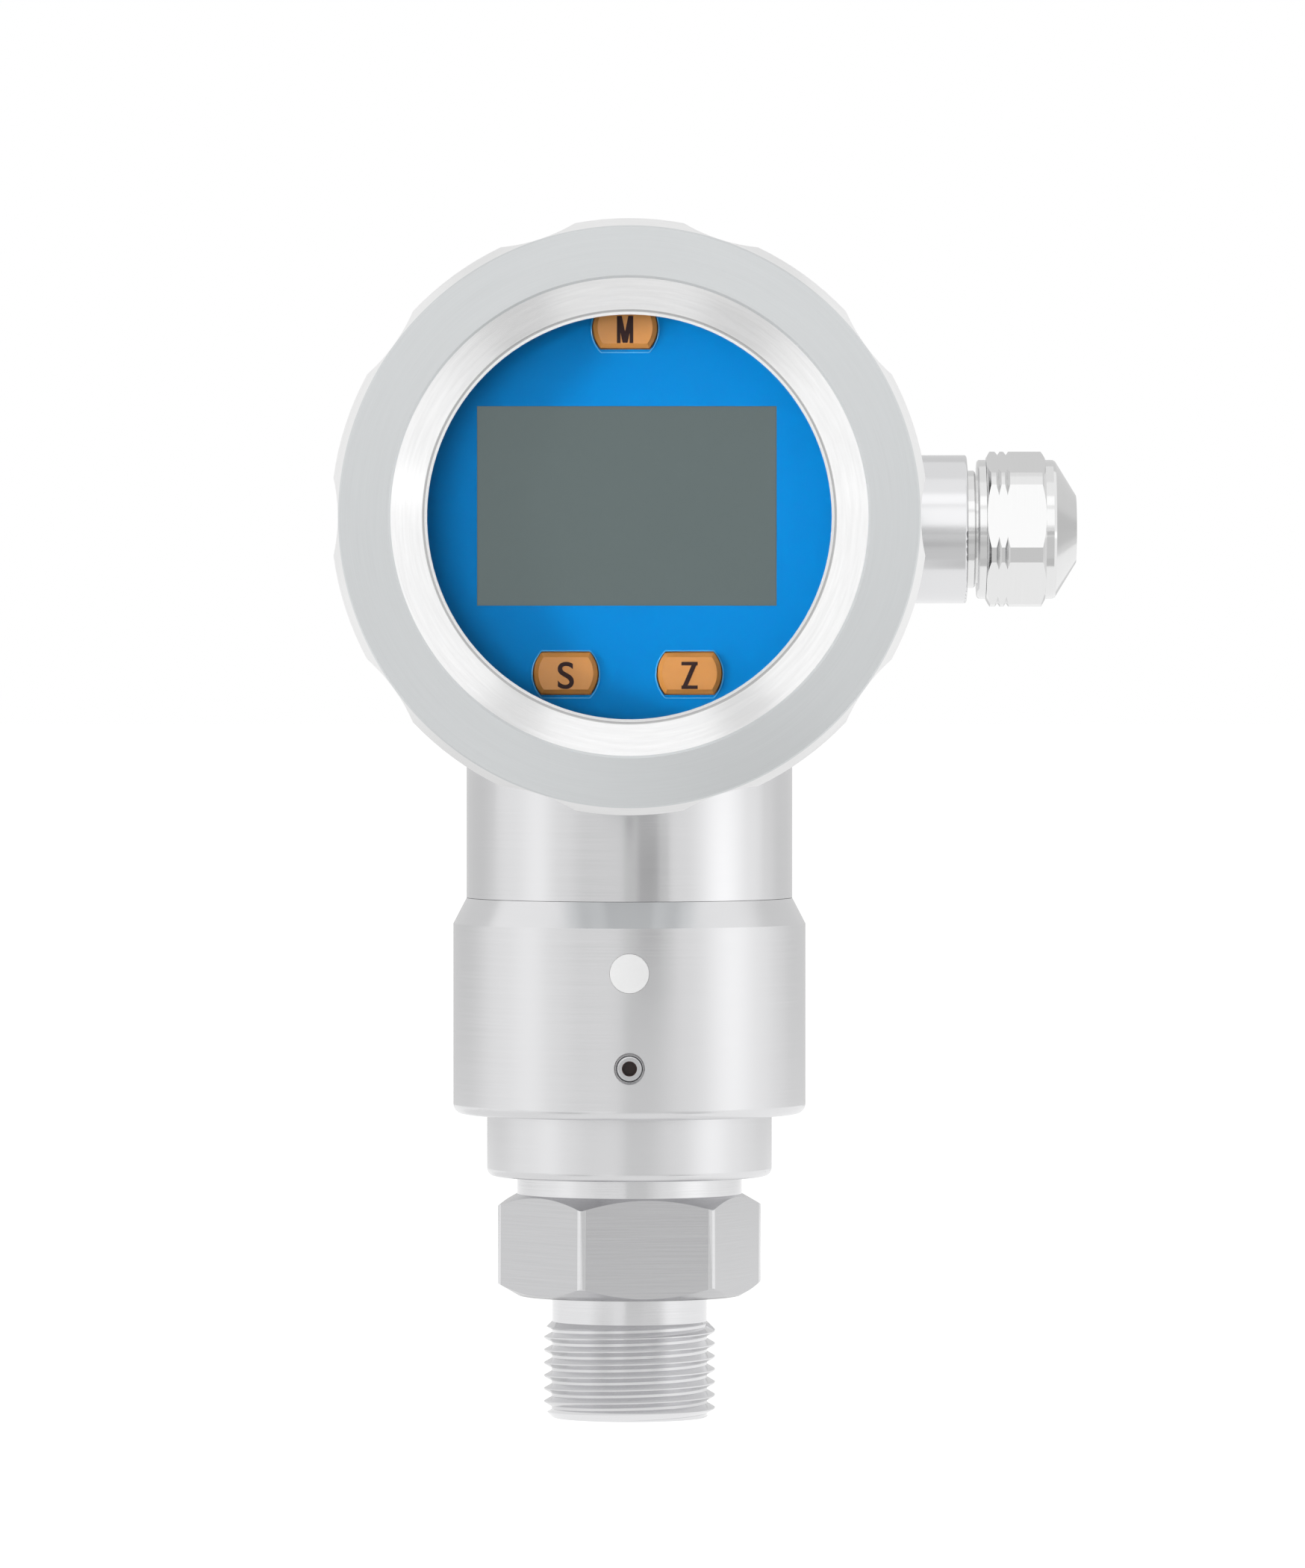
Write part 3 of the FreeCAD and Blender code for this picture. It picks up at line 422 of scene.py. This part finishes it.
key_flange = 0.5 * MM
key_rim_gap = 0.14 * MM
key_rim_spare = 0.32 * MM
key_rim_drop = 0.14 * MM
key_rim_width = 0.16 * MM
key_rim_height = 0.12 * MM
key_rim_steps = 96
rim_blue = plastic("rim_clear_blue", (0.05, 0.36, 0.72), 0.12, variation=0.05)
face_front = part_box("face_plate")[0][1]
for node in ("key_m", "key_s", "key_z"):
    low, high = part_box(node)
    centre = Vector(((low[0] + high[0]) / 2, face_front, (low[2] + high[2]) / 2 - key_rim_drop))
    outer_r = (high[0] - low[0]) / 2 - key_flange + key_rim_gap + key_rim_width
    half_height = (high[2] - low[2]) / 2 - key_flange + key_rim_spare + key_rim_width
    bpy.ops.object.select_all(action="DESELECT")
    bpy.ops.mesh.primitive_circle_add(
        vertices=key_rim_steps, radius=outer_r, fill_type="NGON", location=centre,
        rotation=(math.pi / 2, 0, 0))
    rim = bpy.context.active_object
    bpy.ops.object.transform_apply(location=True, rotation=True, scale=True)
    bpy.ops.object.mode_set(mode="EDIT")
    for side in (1, -1):
        bpy.ops.mesh.select_all(action="SELECT")
        bpy.ops.mesh.bisect(
            plane_co=centre + Vector((0, 0, side * half_height)), plane_no=(0, 0, side),
            clear_outer=True)
    bpy.ops.mesh.select_all(action="SELECT")
    bpy.ops.mesh.inset(thickness=key_rim_width, depth=0)
    bpy.ops.mesh.delete(type="FACE")
    bpy.ops.mesh.select_all(action="SELECT")
    bpy.ops.mesh.extrude_region_move(TRANSFORM_OT_translate={"value": (0, -key_rim_height, 0)})
    bpy.ops.mesh.select_all(action="SELECT")
    bpy.ops.mesh.normals_make_consistent(inside=False)
    bpy.ops.object.mode_set(mode="OBJECT")
    use_modifier(rim, "BEVEL", width=key_rim_width / 3, segments=2, angle_limit=math.radians(40))
    finish_mesh(rim, node + "_rim", rim_blue)
    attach(rim, "head")

# ---------------------------------------------------------------- keys
# Amber moulded caps, each with one dark letter for its function printed on top. They stand in
# holes of the face, over the switches.
amber = plastic("key_amber", (0.57, 0.242, 0.055), 0.28, grain=0.6 * MM, shine=0.3)
ink = plastic("letter_ink", (0.034, 0.018, 0.018), 0.6, shine=0.1)
letter_width, letter_height = 1.87 * MM, 3.12 * MM
letter_drop = 0.24 * MM
letter_thickness = 0.05 * MM
letter_boldness = 0.012
upright, slope, level = 0.22, 0.30, 0.13
outer, inner = (1 - upright) / 2, (1 - slope) / 2
end, short_of_end = 0.5, 0.49


def bar(centre, top, bottom, high, low, width):
    """One printed bar with level ends, given in shares of a letter's width and height.

    top and bottom are how far right of the middle its ends lie, high and low how far up.
    """
    middle = centre + Vector((bottom * letter_width, 0, (high + low) / 2 * letter_height))
    bpy.ops.object.select_all(action="DESELECT")
    bpy.ops.mesh.primitive_cube_add(size=1, location=middle)
    piece = bpy.context.active_object
    piece.scale = (width * letter_width, letter_thickness, (high - low) * letter_height)
    bpy.ops.object.transform_apply(location=True, rotation=True, scale=True)
    select_vertices(piece, lambda place: place.z > middle.z)
    bpy.ops.transform.translate(value=((top - bottom) * letter_width, 0, 0))
    bpy.ops.object.mode_set(mode="OBJECT")
    return piece


def barred_letter(centre, bars):
    """A letter made of straight bars, joined to one solid."""
    letter, *others = (bar(centre, *each) for each in bars)
    for other in others:
        use_modifier(letter, "BOOLEAN", operation="UNION", solver="EXACT", object=other)
        bpy.data.objects.remove(other)
    return letter


def round_letter(centre, sign):
    """A letter taken from the round-stroked built-in type and sized to the others."""
    bpy.ops.object.select_all(action="DESELECT")
    bpy.ops.object.text_add()
    letter = bpy.context.active_object
    letter.data.body = sign
    letter.data.offset = letter_boldness
    letter.data.extrude = 0.5
    letter.data.align_x, letter.data.align_y = "CENTER", "CENTER"
    bpy.ops.object.convert(target="MESH")
    wide, high, thick = letter.dimensions
    letter.scale = (letter_width / wide, letter_height / high, letter_thickness / thick)
    letter.rotation_euler = (math.pi / 2, 0, 0)
    bpy.ops.object.transform_apply(location=True, rotation=True, scale=True)
    corners = [Vector(corner) for corner in letter.bound_box]
    letter.location = centre - (corners[0] + corners[6]) / 2
    bpy.ops.object.transform_apply(location=True, rotation=True, scale=True)
    bpy.ops.object.mode_set(mode="EDIT")
    bpy.ops.mesh.select_all(action="SELECT")
    bpy.ops.mesh.remove_doubles(threshold=0.0005 * MM)
    bpy.ops.mesh.normals_make_consistent(inside=False)
    bpy.ops.object.mode_set(mode="OBJECT")
    return letter


def letter_centre(node):
    """The middle of the letter printed on a key, whose ink stands on the key's face."""
    low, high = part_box(node)
    return Vector(((low[0] + high[0]) / 2, low[1] - letter_thickness / 2,
                   (low[2] + high[2]) / 2 - letter_drop))


letters = (
    ("key_m", "mode_key", barred_letter(letter_centre("key_m"), (
        (-outer, -outer, end, -end, upright),
        (outer, outer, end, -end, upright),
        (-inner, 0, end, -short_of_end, slope),
        (inner, 0, end, -short_of_end, slope)))),
    ("key_s", "shift_key", round_letter(letter_centre("key_s"), "S")),
    ("key_z", "zero_key", barred_letter(letter_centre("key_z"), (
        (0, 0, end, end - level, 1),
        (0, 0, level - end, -end, 1),
        (inner, -inner, short_of_end, -short_of_end, slope)))))
for node, body, letter in letters:
    dress(node, amber)
    finish_mesh(letter, node + "_letter", ink)
    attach(letter, body)

# ---------------------------------------------------------------- cover and window
# A stainless ring with ten grip lobes screws over the head. Its rim is matt, its conical bezel
# is turned bright, and a slotted ring clamps the flat window and its gasket from behind.
cover_low, cover_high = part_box("front_cover")
cover_z = (cover_low[2] + cover_high[2]) / 2
rim_width = 6.5 * MM
bezel_edge_r = (cover_high[0] - cover_low[0]) / 2 - rim_width
face_edge_r = 33.17 * MM
face_edge_depth = 1.0 * MM
lip_shadow_inner_r, lip_shadow_outer_r = 23.40 * MM, 23.68 * MM
rim_tone, bezel_tone, edge_highlight_tone = 0.71, 0.95, 0.86
rim_roughness, bezel_roughness = 0.36, 0.27
rim_streaks, bezel_streaks = 0.05, 0.16
rim_tint = (0.975, 1.0, 1.01)
lip_shadow_share = 0.64
cover_steel, add, link, shader = new_material("cover_steel")
direction, radius, along = lathe_space(add, link, "Y", (0, 0, cover_z))
lines = drawn_noise(add, link, direction, radius, 0.10 * MM, around=2.0)
streaks = drawn_noise(add, link, direction, radius, 0.4 * MM, around=4.0)

# Where a point lies: on the matt rim, on the rim's outer edge, painted lighter as a painted
# highlight of its chamfer, or in the dark line beside the lip, a painted shadow of its gap.
outside_bezel = maths(add, link, "GREATER_THAN", radius, bezel_edge_r)
near_front = maths(add, link, "GREATER_THAN", along, -cover_low[1] - face_edge_depth)
on_highlit_edge = maths(add, link, "GREATER_THAN", radius, face_edge_r)
on_highlit_edge = maths(add, link, "MULTIPLY", on_highlit_edge, near_front)
on_rim = maths(add, link, "SUBTRACT", outside_bezel, on_highlit_edge)
in_lip_shadow = maths(add, link, "MULTIPLY",
                maths(add, link, "GREATER_THAN", radius, lip_shadow_inner_r),
                maths(add, link, "LESS_THAN", radius, lip_shadow_outer_r))

tone = ranged(add, link, outside_bezel, bezel_tone, rim_tone)
# The rim's outer edge is painted lighter: a painted highlight of its chamfer.
tone = maths(add, link, "ADD", tone, ranged(add, link, on_highlit_edge, 0.0, edge_highlight_tone - rim_tone))
tone = maths(add, link, "MULTIPLY", tone, ranged(add, link, lines, 0.97, 1.03))
streak_depth = ranged(add, link, outside_bezel, bezel_streaks, rim_streaks)
waver = maths(add, link, "SUBTRACT", streaks, 0.5)
waver = maths(add, link, "MULTIPLY", waver, streak_depth)
tone = maths(add, link, "MULTIPLY", tone, maths(add, link, "ADD", 1.0, waver))
# The line beside the lip is painted darker: a painted shadow of the gap between lip and bezel.
tone = maths(add, link, "MULTIPLY", tone, ranged(add, link, in_lip_shadow, 1.0, lip_shadow_share))
steel_grey = add("ShaderNodeCombineColor")
for channel, share in zip(("Red", "Green", "Blue"), rim_tint):
    tinted = maths(add, link, "MULTIPLY", tone, ranged(add, link, on_rim, 1.0, share))
    link(tinted, steel_grey.inputs[channel])
link(steel_grey.outputs["Color"], shader.inputs["Base Color"])
roughness = ranged(add, link, outside_bezel, bezel_roughness, rim_roughness)
link(roughness, shader.inputs["Roughness"])
brushed_round(add, link, shader, "Y", 0.4)
raised(add, link, shader, lines, 0.002 * MM)
dress("front_cover", cover_steel)
dress("window_retaining_ring", cover_steel)
dress("window_gasket", rubber)

smears_to_the_metre = 60.0
glass, add, link, shader = new_material("window_glass")
smears = mottled(add, link, smears_to_the_metre)
link(ranged(add, link, smears, 0.0, 0.03), shader.inputs["Roughness"])
shader.inputs["Base Color"].default_value = (1, 1, 1, 1)
shader.inputs["Transmission Weight"].default_value = 1.0
shader.inputs["IOR"].default_value = 1.45
dress("window_glass", glass)
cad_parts["window_glass"].visible_shadow = False

# ---------------------------------------------------------------- cable gland
# Brass turned and plated with bright nickel: a body screwed into the boss and a dome nut that
# squeezes a rubber sleeve round the cable, over a slippery nylon ring.
gland_low, gland_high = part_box("gland_body")
gland_z = (gland_low[2] + gland_high[2]) / 2
nickel = turned_metal(
    "nickel_plate", (0.80, 0.80, 0.80), 0.12, "X", (0, 0, gland_z), anisotropy=0.2, spread=0.02,
    relief=0.001 * MM)
dress("gland_body", nickel)
dress("gland_nut", nickel)
dress("gland_seal", rubber)
dress("gland_thrust_ring", plastic("natural_nylon", (0.75, 0.72, 0.64), 0.45))

# ---------------------------------------------------------------- studio
# A white room with a pale floor that keeps the shadow. One soft lamp stands at the left and one
# in front, and cards in greys and white give bare metal something to mirror.
def seen_or_mirrored(add, link):
    """One where a ray comes from the camera, a mirroring surface or through glass, and zero
    where it gathers light for a matt surface, even one behind glass."""
    path = add("ShaderNodeLightPath").outputs
    either = maths(add, link, "MAXIMUM", path["Is Camera Ray"], path["Is Glossy Ray"])
    either = maths(add, link, "MAXIMUM", either, path["Is Transmission Ray"])
    unscattered = maths(add, link, "LESS_THAN", path["Diffuse Depth"], 0.5)
    return maths(add, link, "MULTIPLY", either, unscattered)


room_light = 0.42
world = bpy.data.worlds.new("studio")
world.use_nodes = True
bpy.context.scene.world = world
bpy.context.scene.view_settings.view_transform = "Standard"
world.node_tree.nodes.clear()
add, link = world.node_tree.nodes.new, world.node_tree.links.new
room = add("ShaderNodeBackground")
room.inputs["Color"].default_value = (1, 1, 1, 1)
link(ranged(add, link, seen_or_mirrored(add, link), room_light, 1.0), room.inputs["Strength"])
link(room.outputs["Background"], add("ShaderNodeOutputWorld").inputs["Surface"])

# The floor shows mostly a white glow of its own and, for the rest, the light and shadow that fall
# on it. Mirrored in metal it shows the glow alone.
floor_size = 12.0
floor_glow = 0.7
glow_seen, glow_mirrored = 1.35, 1.0
bpy.ops.object.select_all(action="DESELECT")
bpy.ops.mesh.primitive_plane_add(size=floor_size, location=(0, 0, 0))
floor = bpy.context.active_object
floor.name = "floor"
floor_paint, add, link, shader = new_material("floor_paint")
shader.inputs["Base Color"].default_value = (0.93, 0.93, 0.93, 1)
shader.inputs["Roughness"].default_value = 0.9
shader.inputs["Specular IOR Level"].default_value = 0.0
mirrored = add("ShaderNodeLightPath").outputs["Is Glossy Ray"]
glow = add("ShaderNodeEmission")
link(ranged(add, link, mirrored, glow_seen, glow_mirrored), glow.inputs["Strength"])
share = maths(add, link, "MULTIPLY", seen_or_mirrored(add, link), floor_glow)
mix = add("ShaderNodeMixShader")
link(maths(add, link, "MAXIMUM", share, mirrored), mix.inputs["Fac"])
link(shader.outputs["BSDF"], mix.inputs[1])
link(glow.outputs["Emission"], mix.inputs[2])
floor_output = next(n for n in floor_paint.node_tree.nodes if n.type == "OUTPUT_MATERIAL")
link(mix.outputs["Shader"], floor_output.inputs["Surface"])
floor.data.materials.append(floor_paint)


def only_mirrored(obj, shader):
    """Lets a studio piece show in mirroring surfaces alone, and there by its own glow alone."""
    obj.visible_camera = obj.visible_diffuse = obj.visible_shadow = False
    shader.inputs["Base Color"].default_value = (0, 0, 0, 1)
    shader.inputs["Specular IOR Level"].default_value = 0.0


def card(name, shade, place, width, height, azimuth=0.0, tilt=90.0):
    """A card of an even shade. tilt is 90 for an upright one and 0 for one that lies flat."""
    bpy.ops.object.select_all(action="DESELECT")
    bpy.ops.mesh.primitive_plane_add(
        size=1.0, location=place, rotation=(math.radians(tilt), 0, math.radians(azimuth)))
    obj = bpy.context.active_object
    obj.name = name
    obj.scale = (width, height, 1)
    paint, _, _, shader = new_material(name)
    only_mirrored(obj, shader)
    shader.inputs["Emission Color"].default_value = (shade, shade, shade, 1)
    shader.inputs["Emission Strength"].default_value = 1.0
    obj.data.materials.append(paint)


def standing_card(name, shade, azimuth, distance, width, low, high):
    """An upright card that faces the stem from an azimuth, counted from straight in front."""
    turn = math.radians(azimuth)
    place = (distance * math.sin(turn), -distance * math.cos(turn), (low + high) / 2)
    card(name, shade, place, width, high - low, azimuth)


# The dark of the viewer's own place, for the window and flat fronts.
standing_card("camera_card", 0.0, 0, 1.36, 0.12, 0.05, 0.17)
# A soft dark band down the neck, right of its middle, and the gland nose's shade.
standing_card("neck_card", 0.55, 11, 0.10, 0.052, 0.054, 0.0715)
standing_card("neck_core_card", 0.36, 12, 0.097, 0.022, 0.054, 0.0715)
standing_card("gland_card", 0.60, 95, 0.12, 0.05, 0.080, 0.125)
# Bright light along the boss and the nut, from above the viewer and from overhead.
standing_card("high_card", 1.2, 0, 0.9, 1.0, 0.20, 0.70)
card("overhead_card", 1.24, (0, -0.74, 0.9), 0.9, 0.42, tilt=0)
# The darker room behind and above, for the tops and the far sides.
standing_card("rear_card", 0.72, 180, 0.9, 5.0, 0.075, 1.2)
card("ceiling_card", 0.88, (0, 0.40, 1.2), 1.6, 1.0, tilt=0)
# The table in front and below, for what looks down.
card("table_card", 0.68, (0.055, -0.29, 0.002), 0.15, 0.40, tilt=0)
card("floor_card", 0.87, (-0.045, -0.03, 0.001), 0.15, 0.24, tilt=0)
# Grey patches for the bezel, above and below on either side.
for side in (-1, 1):
    card("shade_card", 0.6, (side * 0.48, -0.30, 0.9), 0.28, 0.3, tilt=0)
    card("floor_shade_card", 0.6, (side * 0.062, -0.078, 0.0015), 0.05, 0.05, tilt=0)

# A low band of paper all round, in soft greys that make the light and dark stripes of the turned
# stem. Each shade stands at its azimuth, counted from straight in front towards the right.
sweep_radius = 0.55
sweep_low, sweep_high = 0.003, 0.074
sweep_full = 1.35
sweep_shades = (
    (-90, 0.90), (-67, 1.08), (-47, 0.78), (-30, 0.59), (15, 0.60), (38, 0.78), (69, 1.35),
    (96, 0.98), (111, 0.84), (132, 0.70), (180, 0.68), (230, 0.66))
bpy.ops.object.select_all(action="DESELECT")
bpy.ops.mesh.primitive_cylinder_add(
    vertices=96, radius=sweep_radius, depth=sweep_high - sweep_low, end_fill_type="NOTHING",
    location=(0, 0, (sweep_low + sweep_high) / 2))
sweep = bpy.context.active_object
sweep.name = "paper_sweep"
paper, add, link, shader = new_material("sweep_paper")
only_mirrored(sweep, shader)
coordinates = add("ShaderNodeTexCoord")
around = add("ShaderNodeTexGradient")
around.gradient_type = "RADIAL"
link(coordinates.outputs["Object"], around.inputs["Vector"])
ramp = add("ShaderNodeValToRGB")
ramp.color_ramp.interpolation = "EASE"
for azimuth, shade in sweep_shades:
    stop = ramp.color_ramp.elements.new((azimuth + 90) / 360)
    stop.color = [shade / sweep_full] * 3 + [1]
for extra in (-1, 0):
    ramp.color_ramp.elements[extra].color = [sweep_shades[0][1] / sweep_full] * 3 + [1]
link(around.outputs["Fac"], ramp.inputs["Fac"])
link(ramp.outputs["Color"], shader.inputs["Emission Color"])
shader.inputs["Emission Strength"].default_value = sweep_full
sweep.data.materials.append(paper)


def softbox(name, place, aim_at, width, height, watts):
    """A rectangular soft lamp that faces a point."""
    data = bpy.data.lights.new(name, "AREA")
    data.shape = "RECTANGLE"
    data.size, data.size_y = width, height
    data.energy = watts
    lamp = bpy.data.objects.new(name, data)
    lamp.location = place
    lamp.rotation_euler = (Vector(aim_at) - Vector(place)).to_track_quat("-Z", "Y").to_euler()
    lamp.visible_glossy = False
    bpy.context.collection.objects.link(lamp)


softbox("key_lamp", (-1.35, -1.10, 0.07), (0, 0, 0.1), 0.30, 0.10, 10.5)
softbox("fill_lamp", (-0.35, -1.65, 0.12), (0, 0, 0.1), 0.6, 0.20, 5.6)
